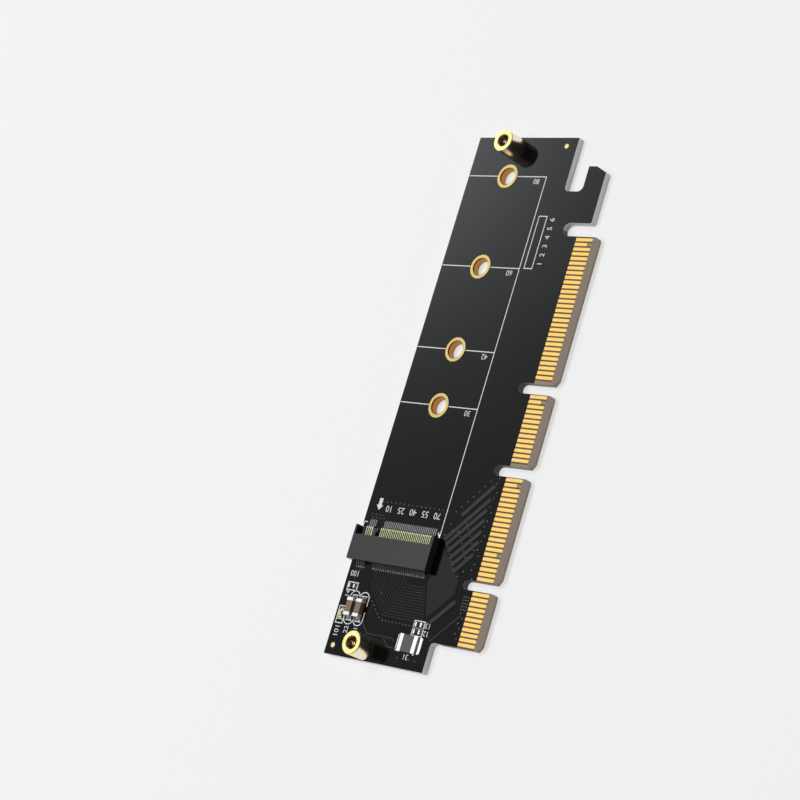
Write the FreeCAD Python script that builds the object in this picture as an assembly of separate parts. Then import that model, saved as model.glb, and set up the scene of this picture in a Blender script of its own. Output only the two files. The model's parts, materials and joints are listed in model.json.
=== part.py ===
import FreeCAD, Part
import math
import os

# Adapter card that carries a gum-stick solid-state drive in a long card-edge slot.
#
# All lengths are millimetres. The pieces are drawn in card coordinates: X runs along the card from
# the centre of its key notch towards the retention hook, Y from the contact edge to the free long
# edge, and Z up from the underside. export() moves them so that the origin is the bottom centre.

os.makedirs("parts", exist_ok=True)

V = FreeCAD.Vector
UP = V(0, 0, 1)

# Board outline
BOARD_T = 1.57                    # laminate with a solder mask on both faces
MASK_T = 0.03                     # depth of the openings in each solder mask
PIN_END_X = -18.25
HOOK_END_X = 93.45
FREE_EDGE_Y = 39.5
BODY_EDGE_Y = 12.5                # lower long edge of the body, beyond the contact tongues
BODY_CORNER_R = 0.9               # inside corner where the first tongue leaves the body

# Contact tongues and the notches between them
PITCH = 1.0
KEY_TO_PIN = 1.5                  # key notch centre to the nearest contact on either side
LAST_PIN_BEFORE_KEY = 11
TONGUE_PINS = ((1, 11), (12, 32), (36, 49), (53, 82))
TONGUE_START_X = -12.15
TONGUE_END_X = 72.15
TONGUE_CHAMFER = 1.0
TONGUE_ROUND = 1.0
KEY_NOTCH_W = 1.9
KEY_NOTCH_Y = 8.75
WALL_NOTCH_W = 2.2                # these two notches clear the end walls of shorter slots
WALL_NOTCH_Y = 9.3
PIN_TO_WALL_NOTCH = 0.5
BEVEL_H = 1.3
BEVEL_DEG = 20.0

# Gold fingers
FINGER_W = 0.7
FINGER_TIP_CUT = 0.2
FINGER_LOW_Y = 1.4
FINGER_SHORT_Y = 2.5
MASK_EDGE_Y = 5.7                 # fingers end where the solder mask begins
FRONT_SHORT_PINS = (17, 31, 48, 81)
BACK_SHORT_PINS = (1,)

# Retention hook and the U slot behind it
HOOK_NOTCH_Y = 9.75
HOOK_X = 75.0
HOOK_LOW_Y = 3.0
HOOK_HEEL_R = 0.45
HOOK_NOSE_X = 87.25
HOOK_NOSE_LOW_Y = 5.7
HOOK_CHAMFER_X = 85.95
SLOT_LOW_Y = 7.8
SLOT_END_X = 81.75
SLOT_LOW_R = 1.3
SLOT_HIGH_R = 1.0

# Plated screw holes, one for each drive length
MODULE_EDGE_X = 4.77              # where the drive's own contact edge comes to lie
MODULE_LENGTHS = (30, 42, 60, 80)
MODULE_Y = 28.7                   # centre line of the drive, its socket and the screw holes
HOLE_R = 1.75
PLATING_T = 0.2                   # barrel wall, drawn heavier than real plating
RING_R = 2.6
RING_PROUD = 0.1
RING_LEAD_IN = 0.22

# Turned heatsink standoffs
STANDOFF_INSET = 2.5              # from each end of the board, on the drive's centre line
STANDOFF_X = {"pin_end": PIN_END_X + STANDOFF_INSET, "hook_end": HOOK_END_X - STANDOFF_INSET}
STANDOFF_R = 2.4
STANDOFF_H = 4.4
STANDOFF_EDGE = 0.12
SHANK_R = 1.6
THREAD_MINOR_R = 1.25
THREAD_DEPTH = 4.2
THREAD_LEAD_IN = 0.18
DRILL_POINT_DEG = 59.0

# Drive socket
SOCKET_REAR_X = 1.0
SOCKET_FRONT_X = 8.1
SOCKET_LIP_X = 6.2                # the upper lip stops short so a drive can be tilted in
SOCKET_LENGTH = 21.6
SOCKET_H = 1.8
SOCKET_EDGE = 0.1
MOUTH_W = 20.6
MOUTH_LOW_Z = 0.5
MOUTH_HIGH_Z = 1.35
MOUTH_END_X = 4.4
KEY_RIB_OFFSET = 6.125
KEY_RIB_W = 0.9
KEY_RIB_FRONT_X = 7.2
PEG_X = 3.2
PEG_L = 1.2
PEGS = ((-9.9, 0.75), (9.65, 0.55))   # offset from the centre line, radius
PEG_CLEARANCE = 0.05

# Socket contacts, bent from strip
STRIP_T = 0.12
STRIP_W = 0.27
CONTACT_PITCH = 0.5
CONTACT_SHIFT = -0.3              # the rows sit a little off the housing's centre
LONG_GROUP = 29
UPPER_SHORT_GROUP = 5
LOWER_SHORT_GROUP = 4
FIRST_UPPER_OFFSET = -9.25
SHORT_GROUP_STEP = 33             # pitches from the first contact to the group beyond the key
CEILING_Z = MOUTH_HIGH_Z - STRIP_T
UPPER_RISE = ((0.8, 0.3), (2.4, CEILING_Z))   # the slope that passes through the rear wall
UPPER_PATH = ((0.0, 0.0), (0.55, 0.0)) + UPPER_RISE + ((5.2, CEILING_Z), (5.6, 1.08))
LOWER_PATH = ((5.2, MOUTH_LOW_Z), (8.15, MOUTH_LOW_Z), (8.5, 0.0), (9.7, 0.0))
HOLD_DOWN_PATH = ((7.8, 1.1), (7.8, 0.0), (8.9, 0.0))
HOLD_DOWN_W = 0.3

# Chip components: centre X and Y, length, width, height, end cap length, and the way the length runs
CHIPS = {
    "capacitor_1": (-8.35, 33.1, 3.6, 1.6, 1.2, 0.65, "x"),
    "capacitor_2": (-8.35, 35.6, 3.6, 1.6, 1.2, 0.65, "x"),
    "resistor_1": (-4.1, 37.1, 1.65, 0.85, 0.45, 0.35, "y"),
    "resistor_2": (-10.75, 16.6, 1.65, 0.85, 0.45, 0.35, "y"),
    "resistor_3": (-9.3, 16.6, 1.65, 0.85, 0.45, 0.35, "y"),
    "fuse": (-13.3, 17.95, 4.7, 3.5, 0.55, 0.95, "y"),
}
CAP_PROUD = 0.05                  # how far an end cap stands out from the body it wraps
PAD_REACH = {"capacitor": 0.85, "resistor": 0.3, "fuse": 0.9, "led": 0.3}
PAD_INSET = {"capacitor": 0.05, "resistor": 0.0, "fuse": 0.2, "led": 0.0}

# Light-emitting diode
LED_X = -9.9
LED_Y = 37.95
LED_L = 1.7
LED_W = 0.8
LED_BASE_H = 0.2
LED_LENS_L = 1.2
LED_LENS_H = 0.4
LED_LENS_TAPER = 0.06
LED_END_L = 0.22

TOP = BOARD_T
CENTRE_X = (PIN_END_X + HOOK_END_X) / 2
CENTRE_Y = FREE_EDGE_Y / 2


def pin_x(pin):
    """Centre of one edge contact, counted from the pin end."""
    if pin <= LAST_PIN_BEFORE_KEY:
        return -KEY_TO_PIN - (LAST_PIN_BEFORE_KEY - pin) * PITCH
    return KEY_TO_PIN + (pin - LAST_PIN_BEFORE_KEY - 1) * PITCH


def box(x_span, y_span, z_span):
    """Block between three pairs of limits."""
    low = V(x_span[0], y_span[0], z_span[0])
    return Part.makeBox(x_span[1] - x_span[0], y_span[1] - y_span[0], z_span[1] - z_span[0], low)


def centred_box(x, y, length_x, width_y, z_span):
    """Block centred on a point of the board."""
    return box((x - length_x / 2, x + length_x / 2), (y - width_y / 2, y + width_y / 2), z_span)


def polygon_prism(points, along):
    """Flat polygon pushed along a vector."""
    return Part.Face(Part.makePolygon(points + points[:1])).extrude(along)


def rounded_face(corners):
    """Flat face through (x, y, radius) corners, each rounded by a tangent arc of that radius."""
    runs = []
    for i, (x, y, radius) in enumerate(corners):
        here = V(x, y, 0)
        back = V(*corners[i - 1][:2], 0) - here
        ahead = V(*corners[(i + 1) % len(corners)][:2], 0) - here
        back.normalize()
        ahead.normalize()
        if radius == 0:
            runs.append((here, here, here))
            continue
        half = back.getAngle(ahead) / 2
        reach = radius / math.tan(half)
        middle = (back + ahead).normalize() * (radius / math.sin(half) - radius)
        runs.append((here + back * reach, here + middle, here + ahead * reach))
    edges = []
    for i, (start, middle, end) in enumerate(runs):
        if not start.isEqual(end, 1e-6):
            edges.append(Part.Arc(start, middle, end).toShape())
        following = runs[(i + 1) % len(runs)][0]
        if not end.isEqual(following, 1e-6):
            edges.append(Part.LineSegment(end, following).toShape())
    return Part.Face(Part.Wire(edges))


def turned(profile, x, y):
    """Solid of revolution of (radius, height) points about a vertical axis."""
    points = [V(x + radius, y, height) for radius, height in profile]
    return Part.Face(Part.makePolygon(points + points[:1])).revolve(V(x, y, 0), UP, 360)


def bent_strip(path, y, width):
    """Metal strip bent along an (x, z) path, with its thickness on the left of the path."""
    start, end = [], []
    for i, (x, z) in enumerate(path):
        here = V(x, y - width / 2, z)
        ways = []
        if i > 0:
            ways.append((here - V(path[i - 1][0], here.y, path[i - 1][1])).normalize())
        if i < len(path) - 1:
            ways.append((V(path[i + 1][0], here.y, path[i + 1][1]) - here).normalize())
        normals = [V(-way.z, 0, way.x) for way in ways]
        mitre = (normals[0] + normals[-1]).normalize()
        start.append(here)
        end.append(here + mitre * (STRIP_T / mitre.dot(normals[0])))
    return polygon_prism(start + end[::-1], V(0, width, 0))


def notch_corners(left, right, top_y):
    """Corners of a slot that opens downwards and has a round inner end."""
    radius = (right - left) / 2
    return [(left, top_y, radius), (right, top_y, radius)]


def tongue_corners(left, right):
    """Lower corners of one contact tongue: a chamfer at its start and a round at its end."""
    return [(left, TONGUE_CHAMFER, 0), (left + TONGUE_CHAMFER, 0, 0), (right, 0, TONGUE_ROUND)]


def board_outline():
    """Closed face of the bare card, walked from the first tongue to the free edge and back."""
    second = pin_x(TONGUE_PINS[1][1]) + PIN_TO_WALL_NOTCH
    third = pin_x(TONGUE_PINS[2][1]) + PIN_TO_WALL_NOTCH
    notches = (
        (-KEY_NOTCH_W / 2, KEY_NOTCH_W / 2, KEY_NOTCH_Y),
        (second, second + WALL_NOTCH_W, WALL_NOTCH_Y),
        (third, third + WALL_NOTCH_W, WALL_NOTCH_Y),
        (TONGUE_END_X, HOOK_X, HOOK_NOTCH_Y),
    )
    corners = []
    left = TONGUE_START_X
    for notch in notches:
        corners += tongue_corners(left, notch[0]) + notch_corners(*notch)
        left = notch[1]
    corners += [
        (HOOK_X, HOOK_LOW_Y, HOOK_HEEL_R),
        (HOOK_CHAMFER_X, HOOK_LOW_Y, 0),
        (HOOK_NOSE_X, HOOK_NOSE_LOW_Y, 0),
        (HOOK_NOSE_X, SLOT_LOW_Y, 0),
        (SLOT_END_X, SLOT_LOW_Y, SLOT_LOW_R),
        (SLOT_END_X, BODY_EDGE_Y, SLOT_HIGH_R),
        (HOOK_END_X, BODY_EDGE_Y, 0),
        (HOOK_END_X, FREE_EDGE_Y, 0),
        (PIN_END_X, FREE_EDGE_Y, 0),
        (PIN_END_X, BODY_EDGE_Y, 0),
        (TONGUE_START_X, BODY_EDGE_Y, BODY_CORNER_R),
    ]
    return rounded_face(corners)


def contact_edge_bevels():
    """Wedges that take the lead-in bevel off both faces of the contact edge."""
    depth = BEVEL_H * math.tan(math.radians(BEVEL_DEG))
    start = TONGUE_START_X - 1
    along = V(TONGUE_END_X + 2 - TONGUE_START_X, 0, 0)
    wedges = []
    for face_z, inward in ((TOP - MASK_T, -1), (MASK_T, 1)):
        outside = face_z - inward
        points = [V(start, BEVEL_H, face_z), V(start, 0, face_z + inward * depth),
                  V(start, -1, face_z + inward * depth), V(start, -1, outside), V(start, BEVEL_H, outside)]
        wedges.append(polygon_prism(points, along))
    return wedges


def board(pads):
    """Laminate card with its mask openings, bevelled contact edge and holes."""
    card = board_outline().extrude(V(0, 0, BOARD_T))
    finger_x = (TONGUE_START_X - 1, TONGUE_END_X + 1)
    openings = [box(finger_x, (-1, MASK_EDGE_Y), (TOP - MASK_T, TOP + 1)),
                box(finger_x, (-1, MASK_EDGE_Y), (-1, MASK_T))]
    holes = []
    for length in MODULE_LENGTHS:
        x = MODULE_EDGE_X + length
        holes.append(Part.makeCylinder(HOLE_R + PLATING_T, BOARD_T, V(x, MODULE_Y, 0)))
        openings.append(Part.makeCylinder(RING_R, MASK_T, V(x, MODULE_Y, 0)))
    for x in STANDOFF_X.values():
        holes.append(Part.makeCylinder(SHANK_R, BOARD_T, V(x, MODULE_Y, 0)))
    for offset, radius in PEGS:
        holes.append(Part.makeCylinder(radius + PEG_CLEARANCE, BOARD_T, V(PEG_X, MODULE_Y + offset, 0)))
    return card.cut(contact_edge_bevels() + openings + holes + pads).removeSplitter()


def finger(pin, low_y, z):
    """One gold contact with clipped corners at its tip."""
    left, right = pin_x(pin) - FINGER_W / 2, pin_x(pin) + FINGER_W / 2
    outline = ((left, MASK_EDGE_Y), (left, low_y + FINGER_TIP_CUT), (left + FINGER_TIP_CUT, low_y),
               (right - FINGER_TIP_CUT, low_y), (right, low_y + FINGER_TIP_CUT), (right, MASK_EDGE_Y))
    return polygon_prism([V(x, y, z) for x, y in outline], UP * MASK_T)


def edge_fingers():
    """Rows of contacts, one node for each tongue and face."""
    nodes = {}
    for side, z, short in (("front", TOP - MASK_T, FRONT_SHORT_PINS), ("back", 0, BACK_SHORT_PINS)):
        for number, (first, last) in enumerate(TONGUE_PINS, 1):
            row = [finger(pin, FINGER_SHORT_Y if pin in short else FINGER_LOW_Y, z)
                   for pin in range(first, last + 1)]
            nodes["%s_fingers_%d" % (side, number)] = Part.makeCompound(row)
    return nodes


def plated_hole(length):
    """Gold-plated barrel: a raised ring on the component side and a pad flush with the back."""
    crown = TOP + RING_PROUD
    barrel_r = HOLE_R + PLATING_T
    profile = ((HOLE_R, 0), (RING_R, 0), (RING_R, MASK_T), (barrel_r, MASK_T), (barrel_r, TOP),
               (RING_R, TOP), (RING_R, crown), (HOLE_R + RING_LEAD_IN, crown), (HOLE_R, crown - RING_LEAD_IN))
    return turned(profile, MODULE_EDGE_X + length, MODULE_Y)


def standoff(x):
    """Turned pillar with a shank pressed through the board and a blind tapped hole in its top."""
    head = TOP + STANDOFF_H
    floor = head - THREAD_DEPTH
    point = THREAD_MINOR_R / math.tan(math.radians(DRILL_POINT_DEG))
    profile = ((0, 0), (SHANK_R, 0), (SHANK_R, TOP), (STANDOFF_R, TOP), (STANDOFF_R, head - STANDOFF_EDGE),
               (STANDOFF_R - STANDOFF_EDGE, head), (THREAD_MINOR_R + THREAD_LEAD_IN, head),
               (THREAD_MINOR_R, head - THREAD_LEAD_IN), (THREAD_MINOR_R, floor), (0, floor - point))
    return turned(profile, x, MODULE_Y)


def above_board(path):
    """Side-view path lifted from the face of the board to its height above the underside."""
    return [(x, z + TOP) for x, z in path]


def contact_groups(first_offset, short_group):
    """Centres of one row's contacts: the long group, then the short group beyond the key."""
    first_y = MODULE_Y + CONTACT_SHIFT + first_offset
    return [[first_y + (start + step) * CONTACT_PITCH for step in range(count)]
            for start, count in ((0, LONG_GROUP), (SHORT_GROUP_STEP, short_group))]


def contact_row(path, groups):
    """Strip contacts of one row."""
    return [bent_strip(above_board(path), y, STRIP_W) for group in groups for y in group]


def contact_chambers(groups):
    """Sloping slots that hold each group of upper contacts between the rear wall and the mouth."""
    path = above_board(UPPER_RISE + ((MOUTH_END_X, CEILING_Z),))
    return [bent_strip(path, (group[0] + group[-1]) / 2, group[-1] - group[0] + STRIP_W) for group in groups]


def hold_downs():
    """Solder tabs let into the front of the socket's two cheeks."""
    path = above_board(HOLD_DOWN_PATH)
    inset = (SOCKET_LENGTH + MOUTH_W) / 4
    return {"socket_tab_inner": bent_strip(path, MODULE_Y - inset, HOLD_DOWN_W),
            "socket_tab_outer": bent_strip(path, MODULE_Y + inset, HOLD_DOWN_W)}


def socket_section(front_x, with_mouth):
    """Side profile of the housing as (x, height above the board) points."""
    edge = SOCKET_EDGE
    top = [(front_x, SOCKET_H - edge), (front_x - edge, SOCKET_H),
           (SOCKET_REAR_X + edge, SOCKET_H), (SOCKET_REAR_X, SOCKET_H - edge), (SOCKET_REAR_X, 0)]
    if not with_mouth:
        return [(front_x, 0)] + top
    return [(SOCKET_FRONT_X, 0), (SOCKET_FRONT_X, MOUTH_LOW_Z - edge), (SOCKET_FRONT_X - edge, MOUTH_LOW_Z),
            (MOUTH_END_X, MOUTH_LOW_Z), (MOUTH_END_X, MOUTH_HIGH_Z),
            (front_x - edge, MOUTH_HIGH_Z), (front_x, MOUTH_HIGH_Z + edge)] + top


def socket_housing(seats):
    """Moulded body: open mouth between two cheeks, key rib, pegs, and a seat for each insert."""
    def slab(section, y_low, y_high):
        points = [V(x, y_low, z) for x, z in above_board(section)]
        return polygon_prism(points, V(0, y_high - y_low, 0))

    low, high = MODULE_Y - SOCKET_LENGTH / 2, MODULE_Y + SOCKET_LENGTH / 2
    mouth_low, mouth_high = MODULE_Y - MOUTH_W / 2, MODULE_Y + MOUTH_W / 2
    cheek = socket_section(SOCKET_FRONT_X, False)
    body = slab(socket_section(SOCKET_LIP_X, True), mouth_low, mouth_high)
    rib_y = MODULE_Y + CONTACT_SHIFT + KEY_RIB_OFFSET
    rib = box((MOUTH_END_X, KEY_RIB_FRONT_X), (rib_y - KEY_RIB_W / 2, rib_y + KEY_RIB_W / 2),
              (TOP + MOUTH_LOW_Z, TOP + MOUTH_HIGH_Z))
    pegs = [Part.makeCylinder(radius, PEG_L, V(PEG_X, MODULE_Y + offset, TOP - PEG_L))
            for offset, radius in PEGS]
    body = body.fuse([slab(cheek, low, mouth_low), slab(cheek, mouth_high, high), rib] + pegs)
    return body.removeSplitter().cut(seats)


def oriented_box(x, y, along, across, z_span, way):
    """Block whose longer side runs along X or Y."""
    if way == "x":
        return centred_box(x, y, along, across, z_span)
    return centred_box(x, y, across, along, z_span)


def shifted(x, y, distance, way):
    """Point moved along X or Y."""
    return (x + distance, y) if way == "x" else (x, y + distance)


def chip(x, y, length, width, height, cap, way):
    """Ceramic block and the two metal caps wrapped round its ends."""
    body = oriented_box(x, y, length - 2 * CAP_PROUD, width - 2 * CAP_PROUD,
                        (TOP + CAP_PROUD, TOP + height - CAP_PROUD), way)
    ends = []
    for side in (-1, 1):
        cap_x, cap_y = shifted(x, y, side * (length - cap) / 2, way)
        ends.append(oriented_box(cap_x, cap_y, cap, width, (TOP, TOP + height), way).cut(body))
    return body, Part.makeCompound(ends)


def chip_pads(name, x, y, length, width, way):
    """Two tinned pads, let into the mask, that reach out past a component's ends."""
    kind = name.split("_")[0]
    pads = []
    for side in (-1, 1):
        outer = length / 2 + PAD_REACH[kind]
        inner = length / 2 - PAD_REACH[kind] / 2
        pad_x, pad_y = shifted(x, y, side * (outer + inner) / 2, way)
        pads.append(oriented_box(pad_x, pad_y, outer - inner, width - 2 * PAD_INSET[kind],
                                 (TOP - MASK_T, TOP), way))
    return pads


def led():
    """Base plate, tapered lens and soldered ends of the indicator lamp."""
    base_top = TOP + LED_BASE_H
    middle = LED_L - 2 * LED_END_L
    base = centred_box(LED_X, LED_Y, middle, LED_W, (TOP, base_top))
    lens_w = LED_W - LED_LENS_TAPER
    section = [V(LED_X - LED_LENS_L / 2, LED_Y - lens_w / 2, base_top),
               V(LED_X + LED_LENS_L / 2, LED_Y - lens_w / 2, base_top),
               V(LED_X + LED_LENS_L / 2 - LED_LENS_TAPER, LED_Y - lens_w / 2, base_top + LED_LENS_H),
               V(LED_X - LED_LENS_L / 2 + LED_LENS_TAPER, LED_Y - lens_w / 2, base_top + LED_LENS_H)]
    ends = [centred_box(LED_X + side * (middle + LED_END_L) / 2, LED_Y, LED_END_L, LED_W, (TOP, base_top))
            for side in (-1, 1)]
    return {"led_base": base, "led_lens": polygon_prism(section, V(0, lens_w, 0)),
            "led_ends": Part.makeCompound(ends)}


def build():
    """Every piece of the card, by node name."""
    nodes = {}
    pads = chip_pads("led", LED_X, LED_Y, LED_L, LED_W, "x")
    for name, (x, y, length, width, height, cap, way) in CHIPS.items():
        nodes[name + "_body"], nodes[name + "_ends"] = chip(x, y, length, width, height, cap, way)
        pads += chip_pads(name, x, y, length, width, way)
    nodes["board"] = board(pads)
    nodes["solder_pads"] = Part.makeCompound(pads)
    nodes.update(led())
    nodes.update(edge_fingers())
    for length in MODULE_LENGTHS:
        nodes["plated_hole_%d" % length] = plated_hole(length)
    for place, x in STANDOFF_X.items():
        nodes["standoff_" + place] = standoff(x)
    upper = contact_groups(FIRST_UPPER_OFFSET, UPPER_SHORT_GROUP)
    lower = contact_groups(FIRST_UPPER_OFFSET + CONTACT_PITCH / 2, LOWER_SHORT_GROUP)
    tabs = hold_downs()
    nodes["socket_housing"] = socket_housing(contact_chambers(upper) + list(tabs.values()))
    nodes["socket_upper_contacts"] = Part.makeCompound(contact_row(UPPER_PATH, upper))
    nodes["socket_lower_contacts"] = Part.makeCompound(contact_row(LOWER_PATH, lower))
    nodes.update(tabs)
    return nodes


def export(nodes):
    """Move each piece to the row frame and write it as its own STEP file."""
    for name, shape in nodes.items():
        placed = shape.copy()
        placed.translate(V(-CENTRE_X, -CENTRE_Y, 0))
        placed.exportStep("parts/%s.step" % name)


export(build())
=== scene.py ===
import json
import logging
import math
from dataclasses import dataclass
from enum import Enum
from typing import Any, Optional, Sequence

import bmesh
import bpy
from mathutils import Matrix, Vector

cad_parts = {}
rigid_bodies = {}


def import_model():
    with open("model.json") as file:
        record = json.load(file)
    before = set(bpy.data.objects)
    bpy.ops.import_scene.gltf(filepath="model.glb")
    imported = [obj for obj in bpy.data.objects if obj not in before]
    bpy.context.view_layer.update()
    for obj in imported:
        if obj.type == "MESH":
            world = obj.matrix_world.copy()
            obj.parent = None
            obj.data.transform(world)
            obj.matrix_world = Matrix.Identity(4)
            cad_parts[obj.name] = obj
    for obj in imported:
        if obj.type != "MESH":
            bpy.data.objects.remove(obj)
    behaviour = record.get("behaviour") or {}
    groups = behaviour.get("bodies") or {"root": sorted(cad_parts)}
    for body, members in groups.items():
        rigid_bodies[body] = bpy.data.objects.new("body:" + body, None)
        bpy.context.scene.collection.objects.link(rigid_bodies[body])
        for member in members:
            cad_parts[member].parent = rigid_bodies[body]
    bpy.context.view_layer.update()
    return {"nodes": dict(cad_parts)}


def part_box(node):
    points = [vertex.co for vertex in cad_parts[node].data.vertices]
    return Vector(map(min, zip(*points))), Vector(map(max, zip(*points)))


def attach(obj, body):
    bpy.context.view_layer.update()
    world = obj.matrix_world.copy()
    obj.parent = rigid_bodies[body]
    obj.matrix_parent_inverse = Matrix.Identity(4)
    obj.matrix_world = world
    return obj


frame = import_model()

# Looks of an adapter card that carries a solid-state drive: solder mask, print, tracks under the
# mask, gold contacts, turned brass pillars and the small soldered parts. Card millimetres run from
# the key notch's centre along X, from the contact edge along Y, and up from the component face.

LOG = logging.getLogger("adapter_card")
MM = 0.001
BODY = "root"
TURN = 2.0 * math.pi
SHARP_DEG = 40.0
ARC_STEPS = 6
CURVE_STEPS = 3
WELD = 0.0005
SUNK = -0.004  # underside of what lies on the mask, just below its face

Point = tuple[float, float]
Triple = tuple[float, float, float]
Path = Sequence[Point]
Colour = tuple[float, float, float, float]
Socket = bpy.types.NodeSocket


# ---- Where things are ----


@dataclass(frozen=True)
class Card:
    """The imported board's place, and the way from card millimetres to the frame's metres."""

    key_x: float
    contact_y: float
    face_z: float
    key_from_end: float = 18.25

    @classmethod
    def from_frame(cls) -> "Card":
        """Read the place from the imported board's box."""
        low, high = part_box("board")
        return cls(low.x + cls.key_from_end * MM, low.y, high.z)

    def at(self, x: float, y: float, z: float = 0.0) -> Vector:
        """Point of the row frame, in metres, for a point in card millimetres."""
        return Vector((self.key_x + x * MM, self.contact_y + y * MM, self.face_z + z * MM))

    def centre_of(self, node: str) -> Point:
        """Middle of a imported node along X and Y, in card millimetres."""
        middle = sum(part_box(node), Vector()) / 2
        return ((middle.x - self.key_x) / MM, (middle.y - self.contact_y) / MM)

    def size_of(self, node: str) -> Triple:
        """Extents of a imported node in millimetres."""
        low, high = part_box(node)
        return tuple((high - low) / MM)


CARD = Card.from_frame()


# ---- Shader tools ----


def linear(hex_code: str) -> Colour:
    """Turn an sRGB hex colour into the linear values a shader takes.

    Args:
        hex_code: Six hex digits, such as "C8A050".

    Returns:
        Linear red, green, blue and an alpha of one.
    """
    channels = [int(hex_code[i:i + 2], 16) / 255 for i in (0, 2, 4)]
    values = [c / 12.92 if c <= 0.04045 else ((c + 0.055) / 1.055) ** 2.4 for c in channels]
    return (*values, 1.0)


def per_metre(size_mm: float) -> float:
    """Texture scale at which one cell of the pattern is that many millimetres across."""
    return 1.0 / (size_mm * MM)


class Shader:
    """The nodes of one material or world, and the coordinates that its patterns run on."""

    def __init__(self, owner: bpy.types.Material | bpy.types.World, coords: str = "Object") -> None:
        """Start with an empty tree.

        Args:
            owner: What the nodes belong to.
            coords: Which texture coordinates the patterns run on.
        """
        owner.use_nodes = True
        self.tree = owner.node_tree
        self.tree.nodes.clear()
        self.coords = self.add("TexCoord", output=coords)

    def add(self, kind: str, inputs: dict | Sequence = (), output: int | str = 0,
            **attributes: Any) -> Optional[Socket]:
        """Add one node with its settings and links.

        Args:
            kind: The node's Blender type name after "ShaderNode", and its operation after a dot.
            inputs: Values to set or sockets to join, in order or by the input's name or number.
            output: Which output is wanted, by name or number.
            attributes: Other plain attributes of the node.

        Returns:
            The output's socket, or None for a node that has none.
        """
        kind, _, operation = kind.partition(".")
        node = self.tree.nodes.new("ShaderNode" + kind)
        if operation:
            node.operation = operation
        for name, value in attributes.items():
            setattr(node, name, value)
        for name, value in (inputs if isinstance(inputs, dict) else dict(enumerate(inputs))).items():
            if isinstance(value, Socket):
                self.tree.links.new(value, node.inputs[name])
            else:
                node.inputs[name].default_value = value
        return node.outputs[output] if len(node.outputs) else None

    def painted(self, base: Socket | Colour, *coats: tuple[Socket, Socket | Colour]) -> Socket:
        """Colour of a surface that other colours partly cover.

        Args:
            base: The colour underneath.
            coats: For each coat in turn, how far it covers from nought to one, and its colour.

        Returns:
            The colour's socket.
        """
        for cover, colour in coats:
            base = self.add("Mix", {0: cover, 6: base, 7: colour}, 2, data_type="RGBA")
        return base

    def within(self, value: Socket, low: float, high: float) -> Socket:
        """One between two limits, nought outside them."""
        above = self.add("Math.GREATER_THAN", (value, low))
        return self.add("Math.MULTIPLY", (above, self.add("Math.LESS_THAN", (value, high))))

    def facing_up(self, least: float) -> Socket:
        """One on faces whose normal rises or falls by more than the least share, nought on walls."""
        rise = self.add("SeparateXYZ", (self.add("NewGeometry", output="True Normal"),), "Z")
        return self.add("Math.GREATER_THAN", (self.add("Math.ABSOLUTE", (rise,)), least))

    def aside(self, pitch_mm: float) -> Socket:
        """How far a point lies from the middle of its contact, as a share of the pitch.

        Args:
            pitch_mm: Distance from one contact to the next.

        Returns:
            The share's socket.
        """
        value = self.add("SeparateXYZ", (self.coords,), "X")
        for operation, *term in (("SUBTRACT", CARD.key_x), ("MULTIPLY", per_metre(pitch_mm)), ("FRACT",),
                                 ("SUBTRACT", 0.5), ("ABSOLUTE",)):
            value = self.add("Math." + operation, (value, *term))
        return value


# ---- Finishes ----


@dataclass(frozen=True)
class Finish:
    """A surface: its real material and how it was made, as shader values.

    The base class gives one colour with a faint mottle and a fine grain. Finishes with more to them
    override colour(), relief() or sheen().
    """

    name: str
    hex_code: str
    roughness: float
    metallic: float = 0.0
    specular: float = 0.5
    grain_mm: Point = (0.12, 0.001)  # width and depth
    mottle: float = 0.06
    mottle_mm: float = 1.4
    coat: float = 0.0

    def colour(self, shader: Shader) -> Socket:
        """Colour of the surface: the base with a slow mottle in its lightness.

        Args:
            shader: The material's nodes.

        Returns:
            The colour's socket.
        """
        base = linear(self.hex_code)[:3]
        dark, pale = (tuple(min(c * level, 1.0) for c in base) + (1.0,)
                      for level in (1 - self.mottle, 1 + self.mottle))
        cloud = shader.add("TexNoise", {"Vector": shader.coords, "Scale": per_metre(self.mottle_mm),
                                        "Detail": 3.0})
        return shader.painted(dark, (cloud, pale))

    def relief(self, shader: Shader) -> Socket:
        """Normal of the surface: a fine even grain."""
        grain = shader.add("TexNoise", {"Vector": shader.coords, "Scale": per_metre(self.grain_mm[0])})
        return shader.add("Bump", {"Height": grain, "Distance": self.grain_mm[1] * MM})

    def sheen(self, shader: Shader) -> dict[str, Socket]:
        """Sockets for the shader's other inputs, none on a surface that is even all over."""
        return {}

    def two_sheens(self, shader: Shader, share: Socket, other: float) -> dict[str, Socket]:
        """The finish's own roughness where the share is one, the other roughness where it is nought."""
        return {"Roughness": shader.add("Math.MULTIPLY_ADD", (share, self.roughness - other, other))}

    def build(self) -> bpy.types.Material:
        """Make the Blender material, or return it if it is already made.

        Returns:
            The material, dressed for every piece of this finish.
        """
        if self.name in bpy.data.materials:
            return bpy.data.materials[self.name]
        material = bpy.data.materials.new(self.name)
        shader = Shader(material)
        surface = shader.add("BsdfPrincipled", {
            "Metallic": self.metallic, "Roughness": self.roughness, "Specular IOR Level": self.specular,
            "Coat Weight": self.coat, "Base Color": self.colour(shader), "Normal": self.relief(shader)})
        for name, socket in self.sheen(shader).items():
            shader.tree.links.new(socket, surface.node.inputs[name])
        shader.add("OutputMaterial", {"Surface": surface})
        return material


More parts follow.
